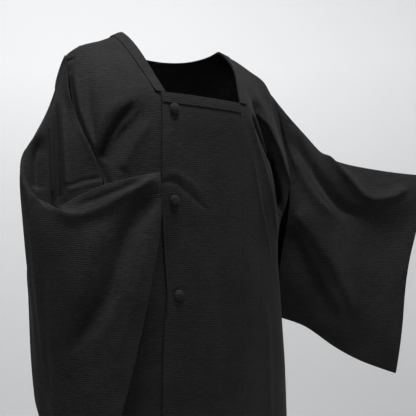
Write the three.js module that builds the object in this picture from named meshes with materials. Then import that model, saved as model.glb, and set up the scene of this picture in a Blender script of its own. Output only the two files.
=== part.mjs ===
// Michiyuki coat, worn: a square-necked outer coat of kimono cut, in millimetres.
// X points to the wearer's left, the wearer faces -Y, and Z points up.
// The origin lies between the shoulders, at the height where the neck edge crosses them.

import * as THREE from "three";
import { mergeVertices } from "three/addons/utils/BufferGeometryUtils.js";

// Driving sizes
const wall = 2;               // thickness of the crinkled cloth
const seamGap = 0.3;          // clear space between pieces at a seam
const armholeGap = 0.7;       // clear space between a body panel and its sleeve
const hem = -900;             // height of the hem below the shoulder
const frameTop = -132;        // height of the neck opening's front edge
const frameBand = 18.5;        // width of the narrow band round the neck
const frameClear = 0.6;      // space between that band and the panel under it
const frameWall = 1.4;        // thickness of that band
const lapLift = 3.6;          // how far the upper front band lies over the lower one
const bandSeam = 80;          // distance of the front band's seam from the centre
const lowerBandEdge = 62;     // free edge of the lower front band, under the lap
const sideSeamTop = -345;     // height where the side seam starts, below the armhole
const foldSpace = 6;          // distance between a sleeve's layers at its top and bottom fold
const buttonRadius = 9.2;
const buttonHeight = 7;

// Colours of the cloth and of the buttons covered with it
const clothColour = 0x1b1a1c;
const buttonColour = 0x201f21;

// Height of the shoulder line at a distance from the centre, and how far it lies forward
const rightShoulder = [
  { reach: 0, height: 0, forward: 0 },
  { reach: 100, height: 0, forward: 0 },
  { reach: 120, height: -9, forward: 0 },
  { reach: 143, height: -20, forward: 0 },
  { reach: 180, height: -34, forward: 0 },
  { reach: 204, height: -50, forward: 0 },
  { reach: 233, height: -84, forward: 0 },
];
const leftShoulder = [
  { reach: 0, height: 0, forward: 0 },
  { reach: 100, height: 0, forward: 0 },
  { reach: 140, height: -7, forward: 2 },
  { reach: 168, height: -18, forward: 6 },
  { reach: 186, height: -31, forward: 15 },
  { reach: 217, height: -50, forward: 25 },
  { reach: 233, height: -78, forward: 30 },
  { reach: 290, height: -104, forward: 30 },
];

// Depth of the coat's front and back at a distance below the shoulder line
const frontProfile = [
  { drop: 0, depth: 0 },
  { drop: 18, depth: 27 },
  { drop: 48, depth: 60 },
  { drop: 81, depth: 87 },
  { drop: 113, depth: 108 },
  { drop: 132, depth: 120 },
  { drop: 165, depth: 126 },
  { drop: 300, depth: 133 },
  { drop: 480, depth: 134 },
  { drop: 700, depth: 132 },
  { drop: 900, depth: 136 },
];
const backProfile = [
  { drop: 0, depth: 0 },
  { drop: 8, depth: 26 },
  { drop: 22, depth: 50 },
  { drop: 42, depth: 68 },
  { drop: 80, depth: 86 },
  { drop: 140, depth: 100 },
  { drop: 250, depth: 109 },
  { drop: 400, depth: 110 },
  { drop: 600, depth: 118 },
  { drop: 900, depth: 132 },
];

// Half width of the coat at a height, on the wearer's right and left
const rightGirth = [
  { z: -60, reach: 232 },
  { z: -295, reach: 232 },
  { z: -345, reach: 236 },
  { z: -460, reach: 240 },
  { z: -640, reach: 246 },
  { z: -900, reach: 262 },
];
const leftGirth = [
  { z: -60, reach: 258 },
  { z: -126, reach: 273 },
  { z: -206, reach: 288 },
  { z: -250, reach: 292 },
  { z: -300, reach: 284 },
  { z: -345, reach: 263 },
  { z: -395, reach: 252 },
  { z: -480, reach: 259 },
  { z: -640, reach: 275 },
  { z: -900, reach: 286 },
];

// Distance of the neck opening's edge from the centre, in front, at a height
const rightNeckEdge = [
  { z: 0, reach: 102 },
  { z: -48, reach: 97 },
  { z: -81, reach: 92 },
  { z: -113, reach: 85 },
  { z: -132, reach: 80 },
];
const leftNeckEdge = [
  { z: 0, reach: 121 },
  { z: -45, reach: 119 },
  { z: -62, reach: 112 },
  { z: -100, reach: 94 },
  { z: -132, reach: 82 },
];

// Distance of the armhole seam from the centre at a height, in front and behind
const rightArmholeFront = [
  { z: -71, reach: 214 },
  { z: -126, reach: 220 },
  { z: -176, reach: 219 },
  { z: -213, reach: 209 },
  { z: -251, reach: 196 },
  { z: -295, reach: 184 },
  { z: -327, reach: 188 },
  { z: -345, reach: 236 },
];
const rightArmholeBack = [
  { z: -71, reach: 214 },
  { z: -126, reach: 217 },
  { z: -200, reach: 218 },
  { z: -295, reach: 219 },
  { z: -345, reach: 236 },
];
const leftArmholeFront = [
  { z: -78, reach: 233 },
  { z: -126, reach: 250 },
  { z: -161, reach: 258 },
  { z: -206, reach: 268 },
  { z: -240, reach: 273 },
  { z: -307, reach: 268 },
  { z: -322, reach: 267 },
  { z: -345, reach: 263 },
];
const leftArmholeBack = [
  { z: -78, reach: 233 },
  { z: -126, reach: 250 },
  { z: -206, reach: 270 },
  { z: -307, reach: 272 },
  { z: -345, reach: 263 },
];

// The deep fold between the chest and the wearer's left armpit
const armpitFold = [
  { z: -96, reach: 128, depth: 0, spread: 14 },
  { z: -128, reach: 146, depth: 26, spread: 15 },
  { z: -165, reach: 172, depth: 36, spread: 19 },
  { z: -205, reach: 194, depth: 42, spread: 22 },
  { z: -250, reach: 214, depth: 44, spread: 22 },
  { z: -300, reach: 224, depth: 34, spread: 22 },
  { z: -335, reach: 226, depth: 10, spread: 22 },
  { z: -380, reach: 226, depth: 0, spread: 22 },
];

// The slanting fold on the wearer's right chest, from beside the neck corner to the armhole
const chestFold = [
  { z: -150, reach: 104, depth: 0, spread: 12 },
  { z: -172, reach: 122, depth: 11, spread: 12 },
  { z: -205, reach: 150, depth: 17, spread: 13 },
  { z: -240, reach: 172, depth: 14, spread: 13 },
  { z: -285, reach: 186, depth: 6, spread: 13 },
  { z: -320, reach: 195, depth: 0, spread: 13 },
];

// Front edge of the upper front band at a height
const lapEdge = [
  { z: -132, x: -90 },
  { z: -320, x: -96 },
  { z: -430, x: -91 },
  { z: -480, x: -86 },
  { z: -570, x: -94 },
  { z: -900, x: -96 },
];

// Button centres on the upper front band
const buttonPlaces = [
  { name: "button_top", x: -69, z: -160.5 },
  { name: "button_middle", x: -74, z: -320 },
  { name: "button_low", x: -66, z: -482 },
];

// Sections of the wearer's right sleeve from the armhole to the cuff edge. Each row is one
// section: its top fold, its front layer and back layer on the way down, and its bottom fold,
// with the direction from the front layer to the back layer at both folds.
const rightSleeveSections = [
  { top: [-218, 12, -92], front: [[-229, -12, -138], [-243, -48, -240], [-246, -62, -322],
    [-247, -64, -430], [-247, -52, -512]], back: [[-223, 40, -150], [-256, 50, -290],
    [-264, 36, -430], [-262, 20, -512]], bottom: [-256, -16, -545],
    topSpread: [-0.2, 1, 0], bottomSpread: [-0.2, 1, 0] },
  { top: [-226, 20, -133], front: [[-240, 2, -180], [-243, -10, -240], [-246, -22, -302],
    [-254, -42, -440], [-254, -36, -556]], back: [[-243, 44, -190], [-268, 46, -300],
    [-269, 33, -460], [-267, 21, -556]], bottom: [-261, -5, -592],
    topSpread: [-0.1, 1, 0], bottomSpread: [-0.3, 1, 0] },
  { top: [-246, 18, -181], front: [[-256, 8, -220], [-262, -6, -275], [-262, -24, -350],
    [-262, -41, -500], [-260, -34, -616]], back: [[-272, 40, -232], [-278, 36, -320],
    [-275, 16, -500], [-273, 8, -616]], bottom: [-266, -10, -650],
    topSpread: [0, 1, 0], bottomSpread: [-0.4, 1, 0] },
  { top: [-280, 12, -226], front: [[-275, 0, -262], [-270, -16, -320], [-266, -36, -420],
    [-263, -46, -540], [-261, -42, -660]], back: [[-288, 22, -262], [-286, 16, -335],
    [-276, 4, -520], [-274, -6, -660]], bottom: [-268, -24, -694],
    topSpread: [-0.5, 1, 0], bottomSpread: [-0.6, 0.8, 0] },
  { top: [-299, -8, -270], front: [[-291, -13, -302], [-283, -26, -360], [-272, -46, -450],
    [-263, -56, -580], [-262, -53, -690]], back: [[-301, -9, -302], [-294, -12, -400],
    [-280, -22, -560], [-273, -32, -690]], bottom: [-267, -46, -724],
    topSpread: [-1, 0, 0], bottomSpread: [-1, 0.3, 0] },
  { top: [-287, -27, -314], front: [[-277, -37, -345], [-268, -50, -430], [-260, -62, -590],
    [-259, -65, -705]], back: [[-297, -27, -299], [-299, -32, -345], [-292, -33, -430],
    [-277, -38, -580]], bottom: [-264, -58, -742],
    topSpread: [-0.95, -0.25, 0], bottomSpread: [-1, 0, 0] },
  { top: [-274, -44, -340], front: [[-266, -51, -376], [-261, -62, -450], [-257, -69, -600],
    [-254, -76, -718]],
    back: [[-291, -40, -307], [-297, -44, -345], [-292, -50, -450], [-276, -56, -600]],
    bottom: [-260, -72, -757],
    topSpread: [-0.85, -0.5, 0], bottomSpread: [-1, -0.1, 0] },
  { top: [-261, -61, -350], front: [[-255, -71, -400], [-251, -80, -480], [-250, -82, -620]],
    back: [[-275, -68, -328], [-282, -76, -362], [-281, -84, -450], [-267, -80, -620]],
    bottom: [-259, -84, -775],
    topSpread: [-0.8, -0.6, 0], bottomSpread: [-1, -0.3, 0] },
  { top: [-257, -88, -332], front: [[-247, -90, -400], [-243, -96, -480], [-241, -94, -620]],
    back: [[-257, -106, -353], [-262, -116, -430], [-253, -108, -610]],
    bottom: [-249, -101, -784],
    topSpread: [-0.66, -0.75, 0], bottomSpread: [-0.7, -0.7, 0] },
  { top: [-208, -110, -303], front: [[-204, -112, -350], [-200, -116, -420], [-206, -110, -580]],
    back: [[-211, -127, -340], [-211, -142, -430], [-219, -128, -600]],
    bottom: [-226, -119, -775],
    topSpread: [-0.35, -0.93, 0], bottomSpread: [-0.5, -0.87, 0] },
  { top: [-160, -126, -287], front: [[-158, -129, -330], [-156, -132, -400], [-179, -126, -580]],
    back: [[-170, -138, -316], [-168, -153, -420], [-189, -140, -600]],
    bottom: [-210, -130, -760],
    topSpread: [-0.3, -0.95, 0], bottomSpread: [-0.45, -0.9, 0] },
  { top: [-108, -143, -275], front: [[-109, -141, -300], [-112, -142, -355], [-124, -144, -425],
    [-156, -144, -580]], back: [[-109, -150, -300], [-112, -154, -355], [-124, -154, -425],
    [-156, -148, -580]], bottom: [-198, -137, -742],
    topSpread: [-0.3, -0.95, 0], bottomSpread: [-0.4, -0.9, 0] },
];

// Free inner edge of the right sleeve below the armhole
const rightFreeEdge = {
  front: [[-190, -97, -318], [-205, -100, -380], [-232, -70, -450]],
  back: [[-247, 46, -370], [-258, 16, -460]],
  bottom: [-245, -35, -508],
  bottomSpread: [-0.2, 1, 0],
};

// Sections of the wearer's left sleeve, in the same form; its layers part along openSpread
const leftSleeveSections = [
  { top: [290, -30, -126], front: [[294, -47, -170], [300, -57, -230], [303, -66, -335],
    [301, -42, -440]], back: [[292, 8, -180], [300, 30, -300], [300, 26, -440]],
    bottom: [300, 4, -544] },
  { top: [338, -33, -164], front: [[340, -56, -205], [344, -72, -290], [346, -78, -410],
    [345, -54, -490]], back: [[340, 4, -220], [346, 16, -330], [345, 6, -460]],
    bottom: [342, -14, -560] },
  { top: [370, -40, -194], front: [[378, -72, -225], [376, -70, -290], [378, -80, -400],
    [376, -84, -480], [374, -62, -545]], back: [[374, -10, -250], [376, -4, -350],
    [374, -12, -490]], bottom: [370, -28, -580] },
  { top: [415, -57, -211], front: [[416, -92, -258], [418, -80, -310], [412, -84, -390],
    [404, -88, -510], [400, -66, -578]], back: [[418, -30, -270], [414, -26, -380],
    [404, -32, -520]], bottom: [397, -45, -604] },
  { top: [470, -78, -220], front: [[470, -107, -300], [470, -93, -345], [462, -98, -420],
    [452, -94, -550]], back: [[474, -58, -290], [466, -58, -400], [452, -66, -540]],
    bottom: [441, -70, -632] },
  { top: [535, -103, -228], front: [[533, -123, -280], [528, -115, -340], [512, -118, -430],
    [496, -115, -560]], back: [[538, -88, -290], [520, -94, -400], [498, -100, -540]],
    bottom: [484, -96, -652] },
  { top: [598, -126, -231], front: [[588, -131, -265], [566, -132, -344], [539, -125, -449],
    [530, -119, -580]], back: [[589, -118, -265], [567, -112, -344], [539, -116, -449],
    [530, -115.5, -580]], bottom: [516, -113, -664] },
];

// Free inner edge of the left sleeve below the armhole
const leftFreeEdge = {
  front: [[276, -34, -350], [275, -16, -405], [271, -8, -480]],
  back: [[278, 38, -400], [273, 28, -480]],
  bottom: [270, 12, -536],
};

const material = (name, color, roughness) => (
  new THREE.MeshStandardMaterial({ name, color, roughness, metalness: 0 })
);
const cloth = material("crinkled_cloth", clothColour, 0.85);
const buttonCloth = material("button_cloth", buttonColour, 0.8);

// Reads one column of a table as a smooth function of another that has no overshoot
function smoothTable(table, at, column) {
  const rows = [...table].sort((a, b) => a[at] - b[at]);
  const x = rows.map((row) => row[at]);
  const y = rows.map((row) => row[column]);
  const rise = x.slice(1).map((value, i) => (y[i + 1] - y[i]) / (value - x[i]));
  const slope = x.map((value, i) => {
    if (i === 0) return rise[0];
    if (i === x.length - 1) return rise[i - 1];
    if (rise[i - 1] * rise[i] <= 0) return 0;
    return 2 / (1 / rise[i - 1] + 1 / rise[i]);
  });
  return (value) => {
    if (value <= x[0]) return y[0];
    if (value >= x[x.length - 1]) return y[y.length - 1];
    const i = x.findIndex((edge) => edge > value) - 1;
    const span = x[i + 1] - x[i];
    const t = (value - x[i]) / span;
    const start = (1 + 2 * t) * (1 - t) ** 2 * y[i] + t * (1 - t) ** 2 * span * slope[i];
    const end = t ** 2 * (3 - 2 * t) * y[i + 1] + t ** 2 * (t - 1) * span * slope[i + 1];
    return start + end;
  };
}

const frontDepth = smoothTable(frontProfile, "drop", "depth");
const backDepth = smoothTable(backProfile, "drop", "depth");
const lapEdgeAt = smoothTable(lapEdge, "z", "x");

// A soft trough that runs down a panel: where it lies, how wide it is and how deep
function softFold(table) {
  const reach = smoothTable(table, "z", "reach");
  const depth = smoothTable(table, "z", "depth");
  const spread = smoothTable(table, "z", "spread");
  const sink = (x, z) => depth(z) * Math.exp(-(((x - reach(z)) / spread(z)) ** 2));
  return { reach, spread, sink };
}

// The two halves of the coat's body; sign is the side's direction along X
const right = {
  sign: -1,
  squareness: 2.5,
  shoulder: smoothTable(rightShoulder, "reach", "height"),
  forward: smoothTable(rightShoulder, "reach", "forward"),
  girth: smoothTable(rightGirth, "z", "reach"),
  neck: smoothTable(rightNeckEdge, "z", "reach"),
  neckAtShoulder: rightNeckEdge[0].reach,
  armholeFront: smoothTable(rightArmholeFront, "z", "reach"),
  armholeBack: smoothTable(rightArmholeBack, "z", "reach"),
  seamTop: rightArmholeFront[0],
  armpit: -300,
  fold: softFold(chestFold),
  lift: () => 0,
};
const left = {
  sign: 1,
  squareness: 2,
  shoulder: smoothTable(leftShoulder, "reach", "height"),
  forward: smoothTable(leftShoulder, "reach", "forward"),
  girth: smoothTable(leftGirth, "z", "reach"),
  neck: smoothTable(leftNeckEdge, "z", "reach"),
  neckAtShoulder: leftNeckEdge[0].reach,
  armholeFront: smoothTable(leftArmholeFront, "z", "reach"),
  armholeBack: smoothTable(leftArmholeBack, "z", "reach"),
  seamTop: leftArmholeFront[0],
  armpit: -300,
  fold: softFold(armpitFold),
  lift: (x) => lapLift * (1 - THREE.MathUtils.smoothstep(x, bandSeam, bandSeam + 60)),
};

// Drop below the shoulder line over which its forward offset fades away
const forwardDrop = 90;

// Point of the coat's front or back at a distance x from the centre and a height z
function bodyPoint(side, face, x, z) {
  const drop = Math.max(side.shoulder(x) - z, 0);
  const round = (x / side.girth(z)) ** side.squareness;
  const fullness = Math.max(1 - round, 0) ** (1 / side.squareness);
  const forward = side.forward(x) * (1 - THREE.MathUtils.smoothstep(drop, 0, forwardDrop));
  if (face === "back") {
    return new THREE.Vector3(side.sign * x, backDepth(drop) * fullness - forward, z);
  }
  const depth = frontDepth(drop) * fullness + forward - side.fold.sink(x, z);
  return new THREE.Vector3(side.sign * x, -depth - side.lift(x), z);
}

// Outward directions at the points of a grid, from the points round each
function gridNormals(grid, closed) {
  const rows = grid.length;
  const columns = grid[0].length;
  const place = (row, column) => {
    const turned = closed ? (column + columns) % columns : column;
    const r = THREE.MathUtils.clamp(row, 0, rows - 1);
    return grid[r][THREE.MathUtils.clamp(turned, 0, columns - 1)];
  };
  return grid.map((line, row) => line.map((point, column) => {
    const along = place(row + 1, column).clone().sub(place(row - 1, column));
    const across = place(row, column + 1).clone().sub(place(row, column - 1));
    return across.cross(along).normalize();
  }));
}

// A wall of cloth through a grid of points, rows by columns, half its thickness to each side.
// A closed grid joins its last column to its first.
function clothWall(grid, { closed = false, thickness = wall, normals = null } = {}) {
  const rows = grid.length;
  const columns = grid[0].length;
  const outward = normals ?? gridNormals(grid, closed);
  const positions = [];
  for (const side of [0.5, -0.5]) {
    grid.forEach((line, row) => line.forEach((point, column) => {
      const moved = point.clone().addScaledVector(outward[row][column], side * thickness);
      positions.push(moved.x, moved.y, moved.z);
    }));
  }
  const index = [];
  const outer = (row, column) => row * columns + (column % columns);
  const inner = (row, column) => rows * columns + outer(row, column);
  const quad = (a, b, c, d) => index.push(a, b, c, a, c, d);
  const lastColumn = closed ? columns : columns - 1;
  for (let row = 0; row < rows - 1; row += 1) {
    for (let column = 0; column < lastColumn; column += 1) {
      const next = column + 1;
      quad(outer(row, column), outer(row, next), outer(row + 1, next), outer(row + 1, column));
      quad(inner(row, column), inner(row + 1, column), inner(row + 1, next), inner(row, next));
    }
    if (!closed) {
      const end = columns - 1;
      quad(outer(row, 0), outer(row + 1, 0), inner(row + 1, 0), inner(row, 0));
      quad(outer(row, end), inner(row, end), inner(row + 1, end), outer(row + 1, end));
    }
  }
  for (let column = 0; column < lastColumn; column += 1) {
    const next = column + 1;
    const end = rows - 1;
    quad(outer(0, column), inner(0, column), inner(0, next), outer(0, next));
    quad(outer(end, column), outer(end, next), inner(end, next), inner(end, column));
  }
  const geometry = new THREE.BufferGeometry();
  geometry.setAttribute("position", new THREE.Float32BufferAttribute(positions, 3));
  geometry.setIndex(index);
  return geometry;
}

// Shares of the way from the shoulder to the hem where the body's sections are taken
function bodyShares() {
  const upper = Array.from({ length: 15 }, (unused, i) => 0.4 * (i / 14) ** 1.25);
  const lower = Array.from({ length: 7 }, (unused, i) => 0.4 + 0.6 * ((i + 1) / 7));
  return [...upper, ...lower];
}

// Height of a body section at a distance from the centre
function sectionHeight(side, x, share) {
  return THREE.MathUtils.lerp(side.shoulder(x), hem, share);
}

// Angles of a section's points, drawn together where the panel's fold crosses the section
function columnAngles(side, share, first, last, columns) {
  let z = sectionHeight(side, side.neckAtShoulder, share);
  for (let pass = 0; pass < 4; pass += 1) z = sectionHeight(side, side.fold.reach(z), share);
  const range = last - first;
  const angleOf = (x) => sectionAngle(side, x, z);
  const reach = side.fold.reach(z);
  const centre = THREE.MathUtils.clamp(angleOf(reach), first + 0.3 * range, last - 0.3 * range);
  const width = angleOf(reach + 1.3 * side.fold.spread(z)) - angleOf(reach);
  const half = Math.min(width, 0.7 * (centre - first), 0.7 * (last - centre));
  const knots = [first, centre - half, centre + half, last];
  const places = [0, 0.3, 0.7, 1];
  const near = THREE.MathUtils.smoothstep(share, 0, 0.1);
  const weight = near * (1 - THREE.MathUtils.smoothstep(share, 0.3, 0.5));
  return Array.from({ length: columns + 1 }, (unused, i) => {
    const at = i / columns;
    const k = Math.min(places.findIndex((place) => place >= at - 1e-9) || 1, 3);
    const local = (at - places[k - 1]) / (places[k] - places[k - 1]);
    const drawn = THREE.MathUtils.lerp(knots[k - 1], knots[k], local);
    return THREE.MathUtils.lerp(THREE.MathUtils.lerp(first, last, at), drawn, weight);
  });
}

function sectionAngle(side, x, z) {
  return Math.asin(Math.min(x / side.girth(z), 1) ** (side.squareness / 2));
}

// Share of the way to the hem at the inner end of a back row, whose first rows follow the neck
function backInnerShare(share, shares) {
  const rank = shares.indexOf(share);
  if (rank <= neckRows) return neckDrop * Math.sin((rank / neckRows) * (Math.PI / 2));
  if (share >= evenShare) return share;
  const from = shares[neckRows];
  return THREE.MathUtils.mapLinear(share, from, evenShare, neckDrop, evenShare);
}

// One row of a body panel's points, from its inner edge to its outer edge
function panelRow(side, face, share, innerShare, columns) {
  const innerZ = THREE.MathUtils.lerp(0, hem, innerShare);
  const armhole = face === "front" ? side.armholeFront : side.armholeBack;
  let outerZ = sectionHeight(side, side.seamTop.reach, share);
  for (let pass = 0; pass < 20; pass += 1) {
    outerZ = (3 * outerZ + sectionHeight(side, armhole(outerZ), share)) / 4;
  }
  const closed = outerZ < sideSeamTop;
  const outerX = closed ? side.girth(outerZ) : armhole(outerZ);
  let innerX = seamGap / 2;
  if (face === "front") {
    innerX = innerZ > frameTop ? side.neck(innerZ) : bandSeam + seamGap;
  } else if (innerShare < neckDrop) {
    innerX = side.neckAtShoulder * Math.sqrt(1 - (innerShare / neckDrop) ** 2) + seamGap / 2;
  }
  const first = sectionAngle(side, innerX, innerZ);
  const last = closed ? Math.PI / 2 : sectionAngle(side, outerX, outerZ);
  const even = (unused, i) => THREE.MathUtils.lerp(first, last, i / columns);
  const angles = face === "front"
    ? columnAngles(side, share, first, last, columns)
    : Array.from({ length: columns + 1 }, even);
  return angles.map((angle, i) => {
    const local = THREE.MathUtils.lerp(innerShare, share, i / columns);
    let x = THREE.MathUtils.lerp(innerX, outerX, i / columns);
    let z = sectionHeight(side, x, local);
    for (let pass = 0; pass < 8; pass += 1) {
      x = side.girth(z) * Math.sin(angle) ** (2 / side.squareness);
      z = (z + sectionHeight(side, x, local)) / 2;
    }
    const point = bodyPoint(side, face, x, z);
    if (i === columns && closed) {
      point.x = side.sign * side.girth(z);
      point.y = (face === "front" ? -1 : 1) * (seamGap / 2);
    }
    return point;
  });
}

// Share of the way to the hem that the back of the neck opening drops, the number of rows
// that follow it, and the share from which a back row lies level
const neckDrop = 0.03;
const neckRows = 5;
const evenShare = 0.4;

// The points of a body panel: rows from the front hem over the shoulder to the back hem
function bodyGrid(side) {
  const columns = 16;
  const shares = bodyShares();
  const frontRows = shares.slice(1).reverse().map((share) => (
    panelRow(side, "front", share, share, columns)
  ));
  const backRows = shares.map((share) => (
    panelRow(side, "back", share, backInnerShare(share, shares), columns)
  ));
  const rows = [...frontRows, ...backRows];
  return side.sign < 0 ? rows.map((row) => [...row].reverse()) : rows;
}

// Point of the front at any x, either side of the centre, lifted off the body
function frontPoint(x, z, lift) {
  const side = x < 0 ? right : left;
  const point = bodyPoint(side, "front", Math.abs(x), z);
  point.y -= lift - side.lift(Math.abs(x));
  return point;
}

function bandGrid(startAt, endAt, topZ, bottomZ, lift, columns, rows) {
  return Array.from({ length: rows + 1 }, (unused, j) => {
    const z = THREE.MathUtils.lerp(bottomZ, topZ, j / rows);
    return Array.from({ length: columns + 1 }, (also, i) => (
      frontPoint(THREE.MathUtils.lerp(startAt(z), endAt(z), i / columns), z, lift)
    ));
  });
}

function upperFrontBand() {
  return clothWall(bandGrid(lapEdgeAt, () => bandSeam, frameTop, hem, lapLift, 8, 24));
}

function lowerFrontBand() {
  const seam = () => -bandSeam;
  return clothWall(bandGrid(seam, () => lowerBandEdge, frameTop, hem, 0, 6, 20));
}

function frontFrameBand() {
  const lift = lapLift + wall / 2 + seamGap + frameWall / 2;
  const grid = bandGrid(
    (z) => lapEdgeAt(z), () => bandSeam + 1, frameTop, frameTop - frameBand, lift, 10, 3,
  );
  return clothWall(grid, { thickness: frameWall });
}

// The narrow band from the right front corner over the shoulder, round the back of the neck
function sideFrameBand() {
  const across = 3;
  const stations = [];
  for (const side of [right, left]) {
    const count = 14;
    const shares = Array.from({ length: count + 1 }, (unused, i) => (
      (1 - i / count) * (frameTop / hem)
    ));
    const front = shares.map((share) => ({ side, face: "front", share }));
    const turns = Array.from({ length: 10 }, (unused, i) => ((i + 1) / 10) * (Math.PI / 2));
    const back = turns.map((turn) => ({ side, face: "back", share: neckDrop, turn }));
    const half = [...front, ...back];
    stations.push(...(side === right ? half : half.slice(0, -1).reverse()));
  }
  const grid = stations.map((station) => frameSection(station, across).reverse());
  const lift = wall / 2 + frameClear + frameWall / 2;
  const normals = gridNormals(grid, false);
  const lifted = grid.map((row, i) => row.map((point, j) => (
    point.clone().addScaledVector(normals[i][j], lift)
  )));
  return clothWall(lifted, { thickness: frameWall });
}

// One section of the band: from the neck edge outwards, along the body panel
function frameSection({ side, face, share, turn = 0 }, across) {
  const edge = face === "front"
    ? side.neck(hem * share)
    : side.neckAtShoulder * Math.cos(turn);
  const down = face === "front" ? share : share * Math.sin(turn);
  return Array.from({ length: across + 1 }, (unused, i) => {
    const out = frameBand * (i / across);
    const x = edge + out * Math.cos(turn);
    const further = down + (out * Math.sin(turn) * backSlope) / -hem;
    return bodyPoint(side, face, x, sectionHeight(side, x, further));
  });
}

// Drop for each unit of distance down the back, just below the neck
const backSlope = 0.62;

// Shares of the way along a sleeve's free edge, below the armhole
const freeShares = [0.22, 0.46, 0.7, 0.88, 0.97, 1];

const asPoint = (values) => new THREE.Vector3(...values);

// Direction from the front layer to the back layer where a section doesn't name its own
const openSpread = [0.3, 1, 0];

// One layer of the first section: the armhole seam, then the free edge below it. Its points
// are those of the body panel's edge, moved out by the seam's gap, with the edge's normals.
function armholeLayer(side, face, panel, freePoints, bottom) {
  const { grid, normals } = panel;
  const edge = side.sign < 0 ? 0 : grid[0].length - 1;
  const inside = side.sign < 0 ? 1 : edge - 1;
  const crest = bodyShares().length - 1;
  const step = face === "front" ? -1 : 1;
  const points = [];
  const directions = [];
  for (let row = crest; grid[row][edge].z > side.armpit; row += step) {
    const outward = grid[row][edge].clone().sub(grid[row][inside]).normalize();
    points.push(grid[row][edge].clone().addScaledVector(outward, armholeGap));
    directions.push(normals[row][edge]);
  }
  const end = points.length - 1;
  points[end].addScaledVector(directions[end], wall + seamGap);
  const start = face === "front" ? 0.2 : 0;
  points[0] = points[0].clone().lerp(points[1], start);
  directions[0] = directions[0].clone().lerp(directions[1], start).normalize();
  const free = new THREE.CatmullRomCurve3(
    [points[points.length - 1], ...freePoints.map(asPoint), bottom], false, "centripetal",
  );
  freeShares.forEach((share) => points.push(free.getPointAt(share)));
  return { points, directions };
}

// Shares of a list of points along its own length
function lengthShares(points) {
  const lengths = [0];
  points.slice(1).forEach((point, i) => lengths.push(lengths[i] + point.distanceTo(points[i])));
  return lengths.map((length) => length / lengths[lengths.length - 1]);
}

// A sleeve as a closed loop of points for each section, from the armhole to the cuff edge
function sleeve(side, panel, freeEdge, sections) {
  const layers = {};
  for (const face of ["front", "back"]) {
    const sign = face === "front" ? -1 : 1;
    const spaced = (point, spread = openSpread) => (
      asPoint(point).addScaledVector(asPoint(spread).normalize(), sign * foldSpace / 2)
    );
    const end = spaced(freeEdge.bottom, freeEdge.bottomSpread);
    const first = armholeLayer(side, face, panel, freeEdge[face], end);
    const shares = lengthShares(first.points);
    const rows = sections.map((section) => {
      const curve = new THREE.CatmullRomCurve3([
        spaced(section.top, section.topSpread),
        ...section[face].map(asPoint),
        spaced(section.bottom, section.bottomSpread),
      ], false, "centripetal");
      return shares.map((share) => curve.getPointAt(Math.min(share, 1)));
    });
    layers[face] = { rows: [first.points, ...rows], directions: first.directions };
  }
  const down = side.sign < 0 ? layers.back : layers.front;
  const up = side.sign < 0 ? layers.front : layers.back;
  const ring = (a, b) => [...a, ...[...b].reverse()];
  const grid = smoothRows(down.rows.map((row, i) => ring(row, up.rows[i])), 2);
  const normals = gridNormals(grid, true);
  const firstOf = (layer) => layer.rows[0].map((unused, i) => layer.directions[i] ?? null);
  const given = ring(firstOf(down), firstOf(up));
  given.forEach((direction, i) => {
    if (direction) normals[0][i] = direction;
  });
  return clothWall(grid, { closed: true, normals });
}

// Adds rows between the given ones along smooth curves
function smoothRows(stations, between) {
  const last = stations.length - 1;
  const curves = stations[0].map((unused, column) => (
    new THREE.CatmullRomCurve3(stations.map((row) => row[column]), false, "centripetal")
  ));
  return Array.from({ length: last * between + 1 }, (unused, i) => (
    curves.map((curve) => curve.getPoint(i / (last * between)))
  ));
}

// A covered button: a dome on a short straight rim
function button(place) {
  const rim = 1.6;
  const steps = 4;
  const dome = Array.from({ length: steps + 1 }, (unused, i) => {
    const angle = (i / steps) * (Math.PI / 2);
    return new THREE.Vector2(
      buttonRadius * Math.cos(angle), rim + (buttonHeight - rim) * Math.sin(angle),
    );
  });
  dome[steps].x = 0;
  const profile = [new THREE.Vector2(0, 0), new THREE.Vector2(buttonRadius, 0), ...dome];
  const geometry = new THREE.LatheGeometry(profile, 18);
  const mesh = new THREE.Mesh(solid(geometry), buttonCloth);
  const centre = frontPoint(place.x, place.z, lapLift);
  const across = frontPoint(place.x + 1, place.z, lapLift).sub(centre);
  const upward = frontPoint(place.x, place.z + 1, lapLift).sub(centre);
  const normal = across.cross(upward).normalize();
  mesh.position.copy(centre).addScaledVector(normal, wall / 2 + seamGap + 0.3);
  mesh.quaternion.setFromUnitVectors(new THREE.Vector3(0, 1, 0), normal);
  mesh.name = place.name;
  return mesh;
}

// Keeps only merged positions, so that neighbouring faces share their corners
function solid(geometry) {
  geometry.deleteAttribute("normal");
  geometry.deleteAttribute("uv");
  return mergeVertices(geometry, 1e-4);
}

function piece(name, geometry) {
  const mesh = new THREE.Mesh(solid(geometry), cloth);
  mesh.name = name;
  return mesh;
}

// A body panel's points and outward directions, with those of the side seam level with it
function panelOf(side) {
  const grid = bodyGrid(side);
  const normals = gridNormals(grid, false);
  grid.forEach((row, i) => row.forEach((point, j) => {
    if (Math.abs(point.y) < seamGap) normals[i][j].setY(0).normalize();
  }));
  return { grid, normals };
}

const rightPanel = panelOf(right);
const leftPanel = panelOf(left);

const coat = new THREE.Group();
coat.add(piece("body_right", clothWall(rightPanel.grid, rightPanel)));
coat.add(piece("body_left", clothWall(leftPanel.grid, leftPanel)));
coat.add(piece("front_band_upper", upperFrontBand()));
coat.add(piece("front_band_lower", lowerFrontBand()));
coat.add(piece("neck_frame_front", frontFrameBand()));
coat.add(piece("neck_frame", sideFrameBand()));
coat.add(piece("sleeve_right", sleeve(right, rightPanel, rightFreeEdge, rightSleeveSections)));
coat.add(piece("sleeve_left", sleeve(left, leftPanel, leftFreeEdge, leftSleeveSections)));
buttonPlaces.forEach((place) => coat.add(button(place)));

export default coat;
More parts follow.
